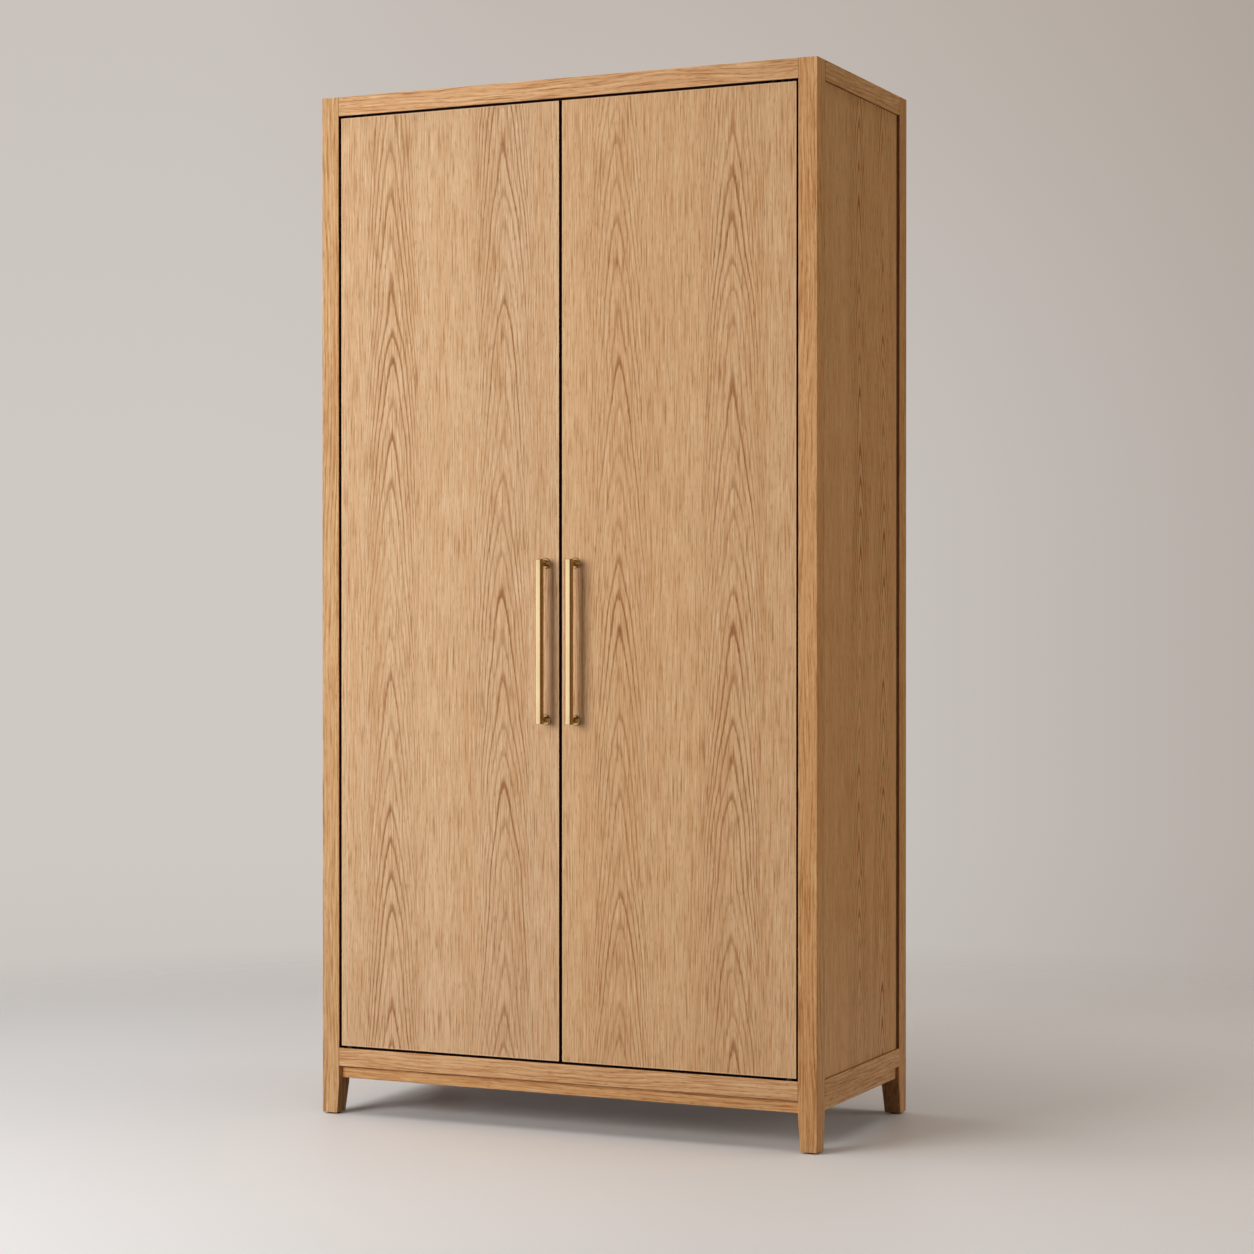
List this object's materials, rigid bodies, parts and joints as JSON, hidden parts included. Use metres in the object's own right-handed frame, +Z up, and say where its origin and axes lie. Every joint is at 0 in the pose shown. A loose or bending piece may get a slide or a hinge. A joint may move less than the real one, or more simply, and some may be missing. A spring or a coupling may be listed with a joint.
{
  "type": "two-door wardrobe",
  "caption": "Free-standing oak wardrobe with a post-and-rail frame on short tapered legs, inset pivot doors with round brass bar handles, a hat shelf and a hanging rail.",
  "frame": {"origin": "on the floor under the middle of the whole object's box, the handles included", "axes": "+Z up, the doors face -Y, +X to the right as seen from the front"},
  "size_m": [1.12, 0.565, 2.15],
  "materials": {
    "oak_frame": "solid oak, clear satin oil",
    "oak_panel": "oak-veneered panel, clear satin lacquer",
    "oak_veneer": "crown-cut oak veneer, clear satin lacquer",
    "stained_oak": "solid oak stained dark brown, so that the door gaps read as dark lines",
    "door_core_board": "fibreboard core, hidden",
    "oak_interior": "oak, clear satin lacquer",
    "beech_dowel": "plain beech",
    "satin_brass": "satin brushed brass",
    "black_steel": "blackened steel",
    "zinc_steel": "bright zinc-plated steel",
    "bush_bronze": "sintered bronze",
    "dark_nylon": "dark nylon"
  },
  "bodies": {
    "carcass": {"back_stile": "oak_interior", "catch_magnets": "zinc_steel", "door_stop_strip": "stained_oak", "dowel_pins": "beech_dowel", "floor_glides": "dark_nylon", "floor_panel": "oak_panel", "front_apron": "oak_frame", "front_base_rail": "oak_frame", "front_left_post": "oak_frame", "front_right_post": "oak_frame", "front_top_rail": "oak_frame", "hanging_rail": "satin_brass", "hat_shelf": "oak_interior", "left_apron": "oak_frame", "left_back_panel": "oak_panel", "left_base_rail": "oak_frame", "left_shelf_cleat": "oak_interior", "left_side_panel": "oak_panel", "left_top_rail": "oak_frame", "lower_pivot_pins": "black_steel", "lower_pivot_plates": "black_steel", "rail_sockets": "satin_brass", "rear_apron": "oak_frame", "rear_base_rail": "oak_frame", "rear_left_post": "oak_frame", "rear_right_post": "oak_frame", "rear_top_rail": "oak_frame", "right_apron": "oak_frame", "right_back_panel": "oak_panel", "right_base_rail": "oak_frame", "right_shelf_cleat": "oak_interior", "right_side_panel": "oak_panel", "right_top_rail": "oak_frame", "short_screws": "zinc_steel", "stop_screws": "zinc_steel", "thrust_washers": "dark_nylon", "top_panel": "oak_panel", "upper_pivot_bushes": "bush_bronze", "upper_pivot_plates": "black_steel"},
    "left_door": {"left_door_core": "door_core_board", "left_door_lippings": "stained_oak", "left_door_veneers": "oak_veneer", "left_handle_bar": "satin_brass", "left_handle_bolts": "zinc_steel", "left_handle_rosettes": "satin_brass", "left_handle_standoffs": "satin_brass", "left_lower_bush": "bush_bronze", "left_strike_plate": "zinc_steel", "left_upper_pin": "black_steel"},
    "right_door": {"right_door_core": "door_core_board", "right_door_lippings": "stained_oak", "right_door_veneers": "oak_veneer", "right_handle_bar": "satin_brass", "right_handle_bolts": "zinc_steel", "right_handle_rosettes": "satin_brass", "right_handle_standoffs": "satin_brass", "right_lower_bush": "bush_bronze", "right_strike_plate": "zinc_steel", "right_upper_pin": "black_steel"}
  },
  "joints": [
    {"name": "left_door_swing", "type": "hinge", "parent": "carcass", "child": "left_door", "pos_m": [-0.499, -0.2345, 0.141], "axis": [0, 0, -1], "range_deg": [0, 110]},
    {"name": "right_door_swing", "type": "hinge", "parent": "carcass", "child": "right_door", "pos_m": [0.499, -0.2345, 0.141], "axis": [0, 0, 1], "range_deg": [0, 110]}
  ]
}
